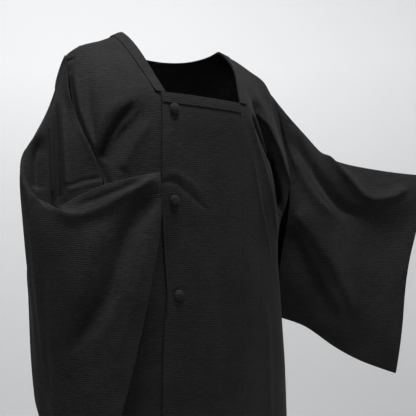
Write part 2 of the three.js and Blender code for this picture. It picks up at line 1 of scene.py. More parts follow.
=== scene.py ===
"""A square-necked coat of kimono cut, as worn, with its cloth, creases, buttons and stage."""

import math
from collections import namedtuple

import bmesh
import bpy
import numpy as np
from bpy.props import FloatProperty, FloatVectorProperty, IntProperty, PointerProperty
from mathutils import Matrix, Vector
from mathutils.bvhtree import BVHTree


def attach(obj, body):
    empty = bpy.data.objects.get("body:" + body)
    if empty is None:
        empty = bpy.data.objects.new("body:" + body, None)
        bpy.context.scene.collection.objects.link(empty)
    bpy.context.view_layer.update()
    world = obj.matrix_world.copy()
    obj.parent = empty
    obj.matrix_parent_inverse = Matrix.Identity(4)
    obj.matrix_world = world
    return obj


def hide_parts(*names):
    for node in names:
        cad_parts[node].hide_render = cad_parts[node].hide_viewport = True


bl_info = {
    "name": "Kimono Coat",
    "version": (1, 0, 0),
    "blender": (4, 5, 0),
    "location": "View3D > Sidebar > Coat",
    "description": "Builds a square-necked coat of kimono cut around its fixed frame",
    "category": "Object",
}

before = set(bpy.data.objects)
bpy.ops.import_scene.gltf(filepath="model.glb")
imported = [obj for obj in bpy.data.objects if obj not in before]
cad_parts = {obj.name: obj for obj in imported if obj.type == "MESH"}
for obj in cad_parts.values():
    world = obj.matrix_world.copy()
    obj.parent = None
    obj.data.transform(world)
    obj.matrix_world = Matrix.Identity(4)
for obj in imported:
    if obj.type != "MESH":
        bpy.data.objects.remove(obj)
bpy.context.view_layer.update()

MILLIMETRE = 0.001
UP = Vector((0.0, 0.0, 1.0))
BODY = "root"

# The walls of the solids, and how they are turned into cloth. An edge whose length is the
# wall's, to within the tolerance as a share of it, crosses the wall.
CLOTH_WALL = 2.0 * MILLIMETRE
FRAME_WALL = 1.4 * MILLIMETRE
RIM_TOLERANCE = 0.005
MERGE_DISTANCE = 0.02 * MILLIMETRE
QUAD_FACE_ANGLE = math.radians(45.0)
QUAD_SHAPE_ANGLE = math.radians(140.0)
SHARP_ANGLE = math.radians(60.0)
SMOOTH_ANGLE = math.radians(50.0)
SMOOTHING = 3
FRAME_THICKNESS = 1.2 * MILLIMETRE
FRAME_SINK = 0.8 * MILLIMETRE

# The soft unevenness: its wave lengths in metres, the waves of each length, how much their
# ways spread along x, y and z, and the height of all the waves together.
UNEVEN_SEED = 7
UNEVEN_LENGTHS = (0.21, 0.16, 0.12, 0.085, 0.06)
WAVES_OF_A_LENGTH = 3
UNEVEN_SPREAD = (1.0, 1.0, 0.45)
UNEVEN_PEAK = 1.9
# The way in which the unevenness moves a wall that keeps both its faces.
SLANT = np.array((0.4, 0.86, 0.32))

# How a crease's path is laid: its number of points, how often they are softened before and
# after they lie on the cloth, the fewest that have to lie on it, and the distance behind the
# coat, in metres, from which paths on the back are placed.
PATH_POINTS = 60
PATH_SOFTENING = 4
LAID_SOFTENING = 6
FEWEST_HITS = 4
BACK_DISTANCE = 1.0

# How far a crease works, in half widths, and down to what depth, so that it leaves the
# layers behind it as they are.
CREASE_REACH = 3.0
LAYER_DEPTH = 26.0 * MILLIMETRE
LAYER_FADE = 10.0 * MILLIMETRE
SHORTEST_RUN = 1e-9

# The dimple below a button: its depth, its reach in radii and how steeply it ends.
DIMPLE = 1.2 * MILLIMETRE
DIMPLE_REACH = 1.25
DIMPLE_EDGE = 4

# A button's outline in shares of its radius and height: a dome, then the points below it.
BUTTONS = ("button_top", "button_middle", "button_low")
DOME_STEPS = 14
DOME_FULLNESS = 0.82
DOME_FOOT = -0.12
DOME_RISE = 0.62
UNDERSIDE = (
    (0.985, -0.22), (0.93, -0.33), (0.8, -0.4), (0.66, -0.44), (0.62, -0.5), (0.0, -0.5)
)
BUTTON_MERGE_DISTANCE = 0.01 * MILLIMETRE

# The gathers: where they start and how fast they grow, in radii, their height, and how much
# and how often round the button they crowd together.
GATHER_START = 0.72
GATHER_GROWTH = 0.25
GATHER_HEIGHT = 0.012
GATHER_CROWDING = 0.6
GATHER_CROWDS = 3.0

# The shares in which the cloth's relief and its tone are mixed. The relief's share in the tone is
# painted shade in the crinkle's hollows and painted light on its ridges; the clouds' share is
# random tone.
WAVE_SHARE = 0.24
RIB_SHARE = 0.46
THREAD_SHARE = 0.3
CRINKLE_SHADE_SHARE = 0.75
CLOUD_SHARE = 0.25
# Values of the tone, and the factor by which the colour is made lighter or darker there, as
# painted shade and light of the crinkle together with the clouds' random tone.
CLOTH_SHADE_AND_TONE_TINTS = ((0.36, 0.4), (0.5, 1.0), (0.64, 2.1))
CLOTH_ROUGHNESS = 0.74
RIB_ROUGHNESS = 0.2

# The paper's tone, painted darker towards the floor as shade: how dark it is low down, its level
# at the shoulders, its change for each metre of height and the strength of its grain.
PAPER_SHADE_TINTS = ((0.0, 0.66), (1.0, 1.0))
PAPER_LEVEL = 0.48
PAPER_SHADE_CHANGE = 0.4
PAPER_GRAIN = 0.04

# The backdrop, in metres.
BACKDROP_BEND = 1.6
BACKDROP_TOP = 4.2
BEND_STEPS = 12
BACKDROP_TURNS = 96

# The level camera with a shifted lens. Lengths are in metres, picture places in pixels.
PICTURE = 416
FOCAL_PIXELS = 740.0
AXIS_PLACE = (167.3, 266.0)
SENSOR = 36.0
CAMERA_TURN = math.radians(33.0)
CAMERA_DISTANCE = 1.42
CAMERA_HEIGHT = -0.432
FORWARD = Vector((math.sin(CAMERA_TURN), math.cos(CAMERA_TURN), 0.0))
SIDEWAYS = Vector((math.cos(CAMERA_TURN), -math.sin(CAMERA_TURN), 0.0))
EYE = Vector((0.0, 0.0, CAMERA_HEIGHT)) - CAMERA_DISTANCE * FORWARD

# The lights: width in metres, power in watts, and the place that each one looks at.
Light = namedtuple("Light", "name place size power target")
COAT_MIDDLE = (0.1, 0.0, -0.4)
LIGHTS = (
    Light("overhead", (-0.2, -0.7, 2.2), 1.1, 120.0, COAT_MIDDLE),
    Light("window", (-2.3, -1.3, 1.2), 1.1, 20.0, COAT_MIDDLE),
    Light("fill", (2.2, -2.2, 0.6), 1.6, 6.0, COAT_MIDDLE),
    Light(
        "behind",
        EYE + 3.0 * FORWARD - 0.3 * SIDEWAYS + 2.4 * UP,
        1.8,
        72.0,
        EYE + 6.0 * FORWARD - 0.5 * SIDEWAYS + 1.4 * UP,
    ),
)
SKY_COLOUR = (0.96, 0.985, 1.0, 1.0)
SKY_STRENGTH = 0.3

# The cloth's sheets. Widths and lengths are those of the flat cut, in metres.
# A whole sheet keeps both faces of its wall, because its layers touch one another.
# keep is the share of its triangles that stay.
Sheet = namedtuple(
    "Sheet", "node flat held rests_on area whole keep", defaults=(None, False, 1.0)
)
SHEETS = {
    "body_right": Sheet("body_right", (0.28, 1.8), "hung", (), area=0.47),
    "body_left": Sheet("body_left", (0.3, 1.8), "hung", (), area=0.5),
    "front_band_upper": Sheet("front_band_upper", (0.17, 0.8), "hung", ("body_left",)),
    "front_band_lower": Sheet("front_band_lower", (0.15, 0.76), "hung", ("body_right",)),
    "neck_frame_front": Sheet("neck_frame_front", (0.0185, 0.19), "stretched", ("body_left",)),
    "neck_frame": Sheet("neck_frame", (0.0185, 0.66), "stretched", ("body_right", "body_left")),
    "sleeve_right": Sheet(
        "sleeve_right", (0.33, 0.96), "hung", ("body_right",), whole=True, keep=0.78
    ),
    "sleeve_left": Sheet("sleeve_left", (0.33, 0.96), "hung", ("body_left",)),
}

# Creases laid on the cloth. A positive height is a ridge and a negative one a trough, in mm.
# left and right are its half widths in mm on either side of the way it runs, seen from outside.
# start and end are the shares of its length over which it fades in and out.
# Places are picture pixels for the aim "photo", and x, z in mm for "back".
Crease = namedtuple("Crease", "pieces aim height left right start end path")
CREASES = [
    # Near shoulder: the sleeve's edge over the body, and the folds beside it.
    Crease(("sleeve_right",), "photo", 2.5, 4, 7, 0.1, 0.1,
           ((64, 62), (68, 89), (75, 116), (84, 136), (95, 158), (105, 183))),
    Crease(("body_right",), "photo", -4.0, 7, 7, 0.1, 0.0,
           ((66, 60), (70, 88), (77, 115), (86, 135), (97, 157), (107, 182))),
    Crease(("body_right",), "photo", 4.5, 4, 7, 0.1, 0.25,
           ((81, 51), (75, 72), (80, 106), (86, 126), (93, 145), (101, 165))),
    Crease(("body_right",), "photo", -3.5, 9, 4, 0.3, 0.3,
           ((89, 60), (87, 85), (89, 110), (94, 133), (101, 156))),
    Crease(("body_right",), "photo", 4.0, 8, 11, 0.35, 0.2,
           ((124, 96), (112, 107), (104, 120), (98, 138), (96, 155))),
    Crease(("body_right",), "photo", -13.0, 9, 7, 0.3, 0.1,
           ((141, 100), (132, 106), (121, 119), (111, 136), (102, 162))),
    Crease(("body_right",), "photo", 3.5, 10, 9, 0.3, 0.1,
           ((154, 115), (140, 136), (129, 154), (121, 171))),
    # Near sleeve above its hanging fold.
    Crease(("sleeve_right",), "photo", 4.0, 5, 4, 0.15, 0.1,
           ((60, 91), (62, 108), (64.5, 143), (67, 190))),
    Crease(("sleeve_right",), "photo", -7.0, 5, 6, 0.25, 0.0,
           ((56, 100), (57, 140), (58.5, 195))),
    Crease(("sleeve_right",), "photo", 2.2, 2.5, 2.5, 0.15, 0.0,
           ((50, 118), (51.5, 150), (52.8, 192))),
    Crease(("sleeve_right",), "photo", -11.0, 10, 8, 0.3, 0.1,
           ((43, 132), (37, 155), (37, 190))),
    Crease(("sleeve_right",), "photo", -2.6, 2.2, 3, 0.1, 0.05,
           ((66, 186), (84, 180), (102, 177))),
    Crease(("sleeve_right",), "photo", 2.2, 3, 5, 0.1, 0.05,
           ((67, 190), (84, 185), (102, 181))),
    # Near sleeve: the hanging fold, and the cloth below it.
    Crease(("sleeve_right",), "photo", 9.0, 7, 12, 0.15, 0.1,
           ((50, 203), (62, 212), (70, 217), (82, 215),
            (100, 209), (121, 197), (145, 184), (161, 173))),
    Crease(("sleeve_right",), "photo", -5.0, 7, 5, 0.2, 0.2,
           ((72, 209), (84, 203), (103, 196), (124, 188), (146, 180))),
    Crease(("sleeve_right",), "photo", -17.0, 13, 20, 0.1, 0.3,
           ((158, 186), (145, 207), (129, 236), (118, 270),
            (110, 297), (92, 325), (71, 348), (54, 365))),
    Crease(("sleeve_right",), "photo", 6.0, 18, 24, 0.3, 0.3,
           ((112, 212), (92, 248), (78, 288), (62, 325))),
    Crease(("sleeve_right",), "photo", 3.0, 12, 10, 0.3, 0.1,
           ((152, 225), (143, 265), (132, 310), (114, 360))),
    Crease(("sleeve_right",), "photo", -3.0, 12, 12, 0.3, 0.1,
           ((46, 230), (42, 290), (45, 350), (50, 405))),
    # Front: the pull beside the middle button and the soft upright folds.
    Crease(("front_band_upper", "body_left"), "photo", -3.0, 5, 3, 0.05, 0.4,
           ((163, 184), (168, 180.5), (176, 183), (187, 192), (198, 202), (214, 216))),
    Crease(("front_band_upper", "body_left"), "photo", 2.0, 8, 4, 0.2, 0.5,
           ((166, 174), (178, 175), (192, 186), (206, 199))),
    Crease(("body_left",), "photo", 3.5, 4, 9, 0.1, 0.2,
           ((249, 112), (256, 140), (262, 158), (267, 175), (273, 199), (277, 236), (279, 270))),
    Crease(("body_left",), "photo", 2.0, 3, 6, 0.2, 0.2,
           ((252, 150), (256, 175), (261.7, 209), (267, 233), (273, 266))),
    Crease(("body_left",), "photo", -2.2, 3, 4, 0.3, 0.3,
           ((233, 262), (241, 268), (250, 275))),
    Crease(("body_left",), "photo", 2.5, 12, 16, 0.3, 0.0,
           ((262, 285), (268, 330), (270, 412))),
    Crease(("body_left", "front_band_upper"), "photo", -2.5, 22, 16, 0.3, 0.1,
           ((214, 240), (220, 300), (224, 360), (228, 412))),
    # Far shoulder: the deep fold in front of the armhole and the edges beside it.
    Crease(("body_left",), "photo", -17.0, 5, 6, 0.12, 0.1,
           ((252, 114), (258, 128), (266, 150), (272, 170), (278, 192), (283, 214))),
    Crease(("body_left",), "photo", 7.0, 7, 3, 0.1, 0.05,
           ((252, 111), (267, 124), (278, 148), (288, 183), (294, 206))),
    Crease(("body_left",), "photo", 1.8, 4, 4, 0.2, 0.3,
           ((264.4, 88), (269, 102), (271, 114), (272.3, 128))),
    Crease(("body_left", "sleeve_left"), "photo", 3.0, 6, 3, 0.1, 0.1,
           ((274, 100), (282, 125), (290, 153), (296, 172))),
    # Far sleeve: the swag below its upper edge and the long slanting folds.
    Crease(("sleeve_left",), "photo", 10.0, 12, 7, 0.1, 0.15,
           ((320, 153), (328, 160), (338, 169), (352, 184),
            (360, 194), (372, 201), (392, 198), (412, 186))),
    Crease(("sleeve_left",), "photo", -13.0, 10, 16, 0.2, 0.3,
           ((293, 129), (302, 147), (312, 164), (328, 189), (345, 209), (368, 213), (390, 208))),
    Crease(("sleeve_left",), "photo", 6.0, 8, 11, 0.25, 0.3,
           ((290, 142), (297, 166), (306, 185), (320, 204), (340, 222))),
    Crease(("sleeve_left",), "photo", 7.0, 26, 9, 0.1, 0.15,
           ((293, 208), (305, 226), (319, 246), (334, 269), (346, 294), (359, 322))),
    Crease(("sleeve_left",), "photo", -10.0, 12, 22, 0.1, 0.15,
           ((288, 226), (303, 258), (321, 292), (340, 326))),
    Crease(("sleeve_left",), "photo", -1.2, 2.5, 2.5, 0.2, 0.2,
           ((343, 225), (343.5, 258), (344, 290))),
    # Back: folds from the shoulders, below the armholes and down the sleeves.
    Crease(("body_right",), "back", -7.0, 16, 12, 0.3, 0.3,
           ((-205, -110), (-175, -240), (-160, -390), (-170, -560))),
    Crease(("body_right",), "back", 4.0, 18, 14, 0.3, 0.2,
           ((-120, -70), (-105, -300), (-120, -560), (-140, -860))),
    Crease(("body_left",), "back", -7.0, 13, 17, 0.3, 0.3,
           ((200, -120), (178, -260), (168, -410), (180, -600))),
    Crease(("body_left",), "back", 4.0, 15, 19, 0.25, 0.2,
           ((110, -80), (96, -320), (108, -600), (130, -870))),
    Crease(("body_left", "body_right"), "back", -3.0, 20, 20, 0.3, 0.3,
           ((-60, -200), (0, -226), (66, -196))),
    Crease(("sleeve_left",), "back", 6.0, 14, 20, 0.2, 0.2,
           ((285, -190), (360, -330), (430, -470), (470, -600))),
    Crease(("sleeve_left",), "back", -7.0, 18, 14, 0.2, 0.2,
           ((300, -240), (350, -380), (395, -520), (420, -610))),
    Crease(("sleeve_left",), "back", 3.5, 16, 16, 0.3, 0.2,
           ((350, -215), (450, -300), (540, -350))),
    Crease(("sleeve_right",), "back", -7.0, 14, 14, 0.3, 0.2,
           ((-262, -200), (-272, -330), (-262, -480))),
    Crease(("sleeve_right",), "back", 4.0, 14, 12, 0.3, 0.2,
           ((-245, -220), (-248, -340), (-240, -470))),
]


class CoatCloth(bpy.types.PropertyGroup):
    """Sizes and colour of the cloth."""

    thickness: FloatProperty(
        name="Thickness",
        description="Thickness of the cloth's wall",
        default=0.0016,
        min=0.0005,
        max=0.003,
        subtype="DISTANCE",
        unit="LENGTH",
    )
    sag: FloatProperty(
        name="Sag",
        description="Height of the cloth's soft unevenness",
        default=0.0009,
        min=0.0,
        max=0.004,
        subtype="DISTANCE",
        unit="LENGTH",
    )
    crinkle: FloatProperty(
        name="Crinkle",
        description="Depth of the fine crinkle of the weave",
        default=0.0012,
        min=0.0,
        max=0.003,
        subtype="DISTANCE",
        unit="LENGTH",
    )
    colour: FloatVectorProperty(
        name="Colour",
        description="Colour of the cloth",
        default=(0.0092, 0.0088, 0.0093),
        min=0.0,
        max=1.0,
        size=3,
        subtype="COLOR",
    )


class CoatButtons(bpy.types.PropertyGroup):
    """Faces, gathers and colour of the covered buttons. The colour is the coat's cloth made
    lighter, as painted light on the domes.
    """

    turns: IntProperty(
        name="Turns",
        description="Faces round a button",
        default=64,
        min=16,
        max=128,
    )
    gathers: IntProperty(
        name="Gathers",
        description="Small gathers of cloth round a button's edge",
        default=22,
        min=0,
        max=60,
    )
    # Lighter than the coat's cloth: painted light on the buttons' domes.
    colour: FloatVectorProperty(
        name="Colour",
        description="Colour of the buttons' cloth",
        default=(0.0118, 0.0113, 0.0119),
        min=0.0,
        max=1.0,
        size=3,
        subtype="COLOR",
    )


class CoatStage(bpy.types.PropertyGroup):
    """The floor and the backdrop."""

    floor_height: FloatProperty(
        name="Floor height",
        description="Height of the floor, measured from the shoulders",
        default=-1.36,
        subtype="DISTANCE",
        unit="LENGTH",
    )
    floor_reach: FloatProperty(
        name="Floor reach",
        description="Distance from the middle of the floor to its backdrop",
        default=5.0,
        min=3.0,
        max=12.0,
        subtype="DISTANCE",
        unit="LENGTH",
    )
    paper: FloatVectorProperty(
        name="Paper",
        description="Colour of the floor and the backdrop",
        default=(0.8, 0.805, 0.81),
        min=0.0,
        max=1.0,
        size=3,
        subtype="COLOR",
    )


# Shader building.


class Signal:
    """An output of a material's node, with arithmetic that adds Math nodes."""

    def __init__(self, finish, socket):
        self.finish = finish
        self.socket = socket

    def maths(self, operation, first, second):
        """Joins two values with a Math node."""
        return self.finish.node("ShaderNodeMath", {"operation": operation}, {0: first, 1: second})

    def __add__(self, other):
        return self.maths("ADD", self, other)

    __radd__ = __add__

    def __mul__(self, other):
        return self.maths("MULTIPLY", self, other)

    __rmul__ = __mul__


class Finish:
    """A material and the nodes that make it."""

    def __init__(self, name):
        self.material = bpy.data.materials.new(name)
        self.material.use_nodes = True
        self.tree = self.material.node_tree
        self.tree.nodes.clear()

    def node(self, kind, settings=None, sockets=None, output=0):
        """Adds a node with its settings first, then its values and links."""
        made = self.tree.nodes.new(kind)
        for key, value in (settings or {}).items():
            if key == "stops":
                ramp = made.color_ramp
                while len(ramp.elements) < len(value):
                    ramp.elements.new(1.0)
                for element, (place, colour) in zip(ramp.elements, value):
                    element.position = place
                    element.color = (*colour, 1.0)
            else:
                setattr(made, key, value)
        for key, value in (sockets or {}).items():
            if isinstance(value, Signal):
                self.tree.links.new(value.socket, made.inputs[key])
            else:
                made.inputs[key].default_value = value
        return Signal(self, made.outputs[output]) if made.outputs else None

    def noise(self, place, scale, detail, roughness=0.5, distortion=0.0):
        """Adds a noise texture."""
        values = {
            "Vector": place,
            "Scale": scale,
            "Detail": detail,
            "Roughness": roughness,
            "Distortion": distortion,
        }
        return self.node("ShaderNodeTexNoise", None, values)

    def shade_ramp(self, colour, stops, shade_and_tone):
        """Adds a ramp that makes the colour lighter or darker with the tone, which carries
        painted shade and light as well as random tone.
        """
        shades = [(place, shade(colour, factor)) for place, factor in stops]
        return self.node("ShaderNodeValToRGB", {"stops": shades}, {"Fac": shade_and_tone})

    def close(self, shader):
        """Joins the shader to the material's output."""
        self.node("ShaderNodeOutputMaterial", None, {"Surface": shader})
        return self.material


def shade(colour, factor):
    """A colour made lighter or darker."""
    return tuple(channel * factor for channel in colour)


def crinkled_cloth(name, colour, crinkle_depth):
    """Matt cloth whose fine crinkle runs across, with a weave below it. Its colour is darkened in
    the crinkle's hollows and lightened on its ridges as painted shade and light, and varies at
    random with the clouds.
    """
    finish = Finish(name)
    place = finish.node("ShaderNodeTexCoord", output="Object")
    across = finish.node(
        "ShaderNodeMapping", None, {"Vector": place, "Scale": (75.0, 75.0, 300.0)}
    )
    upright = finish.node(
        "ShaderNodeMapping", None, {"Vector": place, "Scale": (480.0, 480.0, 150.0)}
    )
    ribs = finish.noise(across, scale=1.0, detail=3.0, roughness=0.62, distortion=0.35)
    threads = finish.noise(upright, scale=1.0, detail=2.0)
    clouds = finish.noise(place, scale=11.0, detail=3.0, roughness=0.55)
    waves = finish.node(
        "ShaderNodeTexWave",
        {"wave_type": "BANDS", "bands_direction": "Z"},
        {"Vector": place, "Scale": 96.0, "Distortion": 6.0, "Detail": 2.0, "Detail Scale": 0.9},
    )
    relief = WAVE_SHARE * waves + RIB_SHARE * ribs + THREAD_SHARE * threads
    # The relief paints shade into the crinkle's hollows and light onto its ridges; the clouds add
    # random tone.
    shade_and_tone = CRINKLE_SHADE_SHARE * relief + CLOUD_SHARE * clouds
    shaded_tint = finish.shade_ramp(colour, CLOTH_SHADE_AND_TONE_TINTS, shade_and_tone)
    bump = finish.node(
        "ShaderNodeBump", None, {"Strength": 0.75, "Distance": crinkle_depth, "Height": relief}
    )
    shader = finish.node(
        "ShaderNodeBsdfPrincipled",
        None,
        {
            "Base Color": shaded_tint,
            "Roughness": CLOTH_ROUGHNESS + RIB_ROUGHNESS * ribs,
            "Normal": bump,
            "Specular IOR Level": 0.1,
            "Sheen Weight": 0.03,
            "Sheen Roughness": 0.42,
            "Sheen Tint": (0.62, 0.62, 0.64, 1.0),
        },
    )
    return finish.close(shader)


def plain_paper(name, colour):
    """The pale matt surface of the floor and backdrop, painted darker lower down as shade, with a
    faint random grain.
    """
    finish = Finish(name)
    place = finish.node("ShaderNodeTexCoord", output="Object")
    height = finish.node("ShaderNodeSeparateXYZ", None, {"Vector": place}, output="Z")
    grain = finish.noise(place, scale=3.0, detail=2.0)
    # Painted shade: the paper is darker lower down, with a faint random grain.
    shade_and_tone = PAPER_SHADE_CHANGE * height + PAPER_LEVEL + PAPER_GRAIN * grain
    shaded_tint = finish.shade_ramp(colour, PAPER_SHADE_TINTS, shade_and_tone)
    shader = finish.node(
        "ShaderNodeBsdfPrincipled",
        None,
        {"Base Color": shaded_tint, "Roughness": 0.95, "Specular IOR Level": 0.1},
    )
    return finish.close(shader)


def material_of(slot):
    """The material of one of the record's slots, made the first time it is asked for."""
    found = bpy.data.materials.get("coat_" + slot)
    if found:
        return found
    scene = bpy.context.scene
    # The buttons take their lighter colour, painted light on their domes.
    owner = scene.coat_buttons if slot == "button_cloth" else scene.coat_cloth
    return crinkled_cloth("coat_" + slot, owner.colour, scene.coat_cloth.crinkle)


# Mesh helpers.


def linked_object(name, data):
    """An object in the scene that holds the data."""
    made = bpy.data.objects.new(name, data)
    bpy.context.scene.collection.objects.link(made)
    return made


def only_selected(piece):
    """Selects one object and makes it active."""
    bpy.ops.object.select_all(action="DESELECT")
    piece.select_set(True)
    bpy.context.view_layer.objects.active = piece


def points_of(mesh):
    """All the mesh's points as rows of x, y, z."""
    flat = np.zeros(len(mesh.vertices) * 3)
    mesh.vertices.foreach_get("co", flat)
    return flat.reshape(-1, 3)


def normals_of(mesh):
    """The mesh's normal at each of its points."""
    flat = np.zeros(len(mesh.vertices) * 3)
    mesh.vertex_normals.foreach_get("vector", flat)
    return flat.reshape(-1, 3)


def move_points(mesh, points):
    """Puts the mesh's points at new places."""
    mesh.vertices.foreach_set("co", points.astype(np.float32).ravel())
    mesh.update()


def apply_modifier(piece, kind, **settings):
    """Adds a modifier with its settings and applies it."""
    only_selected(piece)
    modifier = piece.modifiers.new(kind.lower(), kind)
    for key, value in settings.items():
        setattr(modifier, key, value)
    bpy.ops.object.modifier_apply(modifier=modifier.name)


def turned_piece(name, profile, turns, merge_distance, inward):
    """Makes a piece by turning an outline of reaches and heights round the upright axis."""
    mesh = bpy.data.meshes.new(name)
    piece = linked_object(name, mesh)
    mesh.from_pydata(
        [(reach, 0.0, rise) for reach, rise in profile],
        [(k, k + 1) for k in range(len(profile) - 1)],
        [],
    )
    only_selected(piece)
    bpy.ops.object.mode_set(mode="EDIT")
    bpy.ops.mesh.select_all(action="SELECT")
    bpy.ops.mesh.spin(steps=turns, angle=math.tau, center=(0.0, 0.0, 0.0), axis=UP)
    bpy.ops.mesh.select_all(action="SELECT")
    bpy.ops.mesh.remove_doubles(threshold=merge_distance)
    bpy.ops.mesh.normals_make_consistent(inside=inward)
    bpy.ops.object.mode_set(mode="OBJECT")
    return piece


def crosses_wall(edge, wall):
    """Whether an edge joins the wall's two faces at its rim, where it has the wall's length."""
    return abs(edge.calc_length() - wall) < RIM_TOLERANCE * wall


def islands(bm):
    """The mesh's joined groups of faces."""
    left = set(bm.faces)
    found = []
    while left:
        seed = left.pop()
        group, waiting = {seed}, [seed]
        while waiting:
            for edge in waiting.pop().edges:
                for face in edge.link_faces:
                    if face in left:
                        left.discard(face)
                        group.add(face)
                        waiting.append(face)
        found.append(group)
    return found


def merged_copy(name, node):
    """A copy of a CAD wall with its points merged and its triangles joined to quads."""
    piece = linked_object(name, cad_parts[node].data.copy())
    piece.data.materials.clear()
    only_selected(piece)
    bpy.ops.object.mode_set(mode="EDIT")
    bpy.ops.mesh.select_all(action="SELECT")
    bpy.ops.mesh.remove_doubles(threshold=MERGE_DISTANCE)
    bpy.ops.mesh.tris_convert_to_quads(
        face_threshold=QUAD_FACE_ANGLE, shape_threshold=QUAD_SHAPE_ANGLE
    )
    bpy.ops.object.mode_set(mode="OBJECT")
    return piece


def whole_wall(name, node):
    """Both faces of a CAD wall, with its rims held when it is smoothed."""
    piece = merged_copy(name, node)
    bm = bmesh.new()
    bm.from_mesh(piece.data)
    hold = bm.edges.layers.float.new("crease_edge")
    for edge in bm.edges:
        if edge.calc_face_angle(0.0) > SHARP_ANGLE:
            edge[hold] = 1.0
    bm.to_mesh(piece.data)
    bm.free()
    return piece


def outer_face(name, node, wall):
    """The outer face of a CAD wall as an open sheet of quads."""
    piece = merged_copy(name, node)
    bm = bmesh.new()
    bm.from_mesh(piece.data)
    rims = {face for edge in bm.edges if crosses_wall(edge, wall) for face in edge.link_faces}
    bmesh.ops.delete(bm, geom=list(rims), context="FACES")
    groups = sorted(islands(bm), key=lambda group: sum(face.calc_area() for face in group))
    for group in groups[:-1]:
        bmesh.ops.delete(bm, geom=list(group), context="FACES")
    bm.to_mesh(piece.data)
    bm.free()
    return piece


# Creases.


def sight_line(aim, place):
    """The start and the direction of the line that places a point on the cloth."""
    if aim == "back":
        start = Vector((place[0] * MILLIMETRE, BACK_DISTANCE, place[1] * MILLIMETRE))
        return start, Vector((0.0, -1.0, 0.0))
    across = float(place[0] - AXIS_PLACE[0]) / FOCAL_PIXELS
    above = float(AXIS_PLACE[1] - place[1]) / FOCAL_PIXELS
    return EYE, (FORWARD + across * SIDEWAYS + above * UP).normalized()


def soften(rows, rounds):
    """Evens out all the rows but the first and the last."""
    for _ in range(rounds):
        rows[1:-1] = 0.25 * rows[:-2] + 0.5 * rows[1:-1] + 0.25 * rows[2:]


def smooth_path(path):
    """A path's points set close together, with its corners softened."""
    rows = np.array(path, float)
    runs = np.concatenate([[0.0], np.cumsum(np.linalg.norm(np.diff(rows, axis=0), axis=1))])
    places = np.linspace(0.0, runs[-1], PATH_POINTS)
    dense = np.stack([np.interp(places, runs, rows[:, k]) for k in range(2)], axis=1)
    soften(dense, PATH_SOFTENING)
    return dense


def laid_path(tree, aim, path):
    """A crease's points and outward directions on a piece, or None if it misses the piece."""
    hits = []
    for place in smooth_path(path):
        start, direction = sight_line(aim, place)
        spot, normal, _, _ = tree.ray_cast(start, direction)
        if spot is not None:
            outward = normal if normal.dot(direction) < 0.0 else -normal
            hits.append((spot, outward))
    if len(hits) < FEWEST_HITS:
        return None
    spots = np.array([hit[0] for hit in hits])
    normals = np.array([hit[1] for hit in hits])
    soften(spots, LAID_SOFTENING)
    soften(normals, LAID_SOFTENING)
    normals /= np.linalg.norm(normals, axis=1)[:, None]
    return spots, normals


def soft(value):
    """A smooth step from 0 to 1."""
    value = np.clip(value, 0.0, 1.0)
    return value * value * (3.0 - 2.0 * value)


def crease_moves(points, crease, laid):
    """How far a crease moves each point."""
    spots, normals = laid
    runs = np.gradient(spots, axis=0)
    runs /= np.maximum(np.linalg.norm(runs, axis=1), SHORTEST_RUN)[:, None]
    widest = CREASE_REACH * max(crease.left, crease.right) * MILLIMETRE
    low, high = spots.min(axis=0) - widest, spots.max(axis=0) + widest
    near = np.nonzero(((points > low) & (points < high)).all(axis=1))[0]
    moves = np.zeros_like(points)
    if not len(near):
        return moves
    gaps = points[near][:, None, :] - spots[None, :, :]
    closest = np.argmin((gaps**2).sum(axis=2), axis=1)
    gap = gaps[np.arange(len(near)), closest]
    normal, run = normals[closest], runs[closest]
    beside = (gap * np.cross(normal, run)).sum(axis=1)
    along = (gap * run).sum(axis=1)
    depth = (gap * normal).sum(axis=1)
    width = np.where(beside > 0.0, crease.left, crease.right) * MILLIMETRE
    share = closest / (len(spots) - 1)
    fade_in = soft(share / crease.start) if crease.start else 1.0
    fade_out = soft((1.0 - share) / crease.end) if crease.end else 1.0
    past_end = np.exp(-((along / width) ** 2))
    own_layer = soft((LAYER_DEPTH - np.abs(depth)) / LAYER_FADE)
    height = crease.height * MILLIMETRE * np.exp(-((beside / width) ** 2))
    height = height * fade_in * fade_out * past_end * own_layer
    moves[near] = height[:, None] * normal
    return moves


def uneven(points):
    """Soft unevenness of worn cloth, from -1 to 1, the same on every piece that meets there."""
    draw = np.random.default_rng(UNEVEN_SEED)
    total = np.zeros(len(points))
    for length in UNEVEN_LENGTHS:
        for _ in range(WAVES_OF_A_LENGTH):
            way = draw.normal(size=3) * UNEVEN_SPREAD
            way /= np.linalg.norm(way)
            start = draw.uniform(0.0, math.tau)
            total += length * np.sin(points @ way * (math.tau / length) + start)
    return total / UNEVEN_PEAK


def dimples(points):
    """How far the sewn-on buttons draw in the cloth of the front around them."""
    depth = np.zeros(len(points))
    for name in BUTTONS:
        middle, _, radius, _ = button_place(name)
        away = np.linalg.norm(points - np.array(middle), axis=1)
        depth += DIMPLE * np.exp(-((away / (DIMPLE_REACH * radius)) ** DIMPLE_EDGE))
    return depth


def cloth_moves(name, piece, sag):
    """How far unevenness, creases, buttons and the frame's seams move each point."""
    points = points_of(piece.data)
    normals = normals_of(piece.data)
    moves = sag * uneven(points)[:, None] * (SLANT if SHEETS[name].whole else normals)
    tree = BVHTree.FromObject(piece, bpy.context.evaluated_depsgraph_get())
    for crease in CREASES:
        laid = laid_path(tree, crease.aim, crease.path) if name in crease.pieces else None
        if laid is not None:
            moves += crease_moves(points, crease, laid)
    if name == "front_band_upper":
        moves -= dimples(points)[:, None] * normals
    if name.startswith("neck_frame"):
        moves -= FRAME_SINK * normals
    return moves


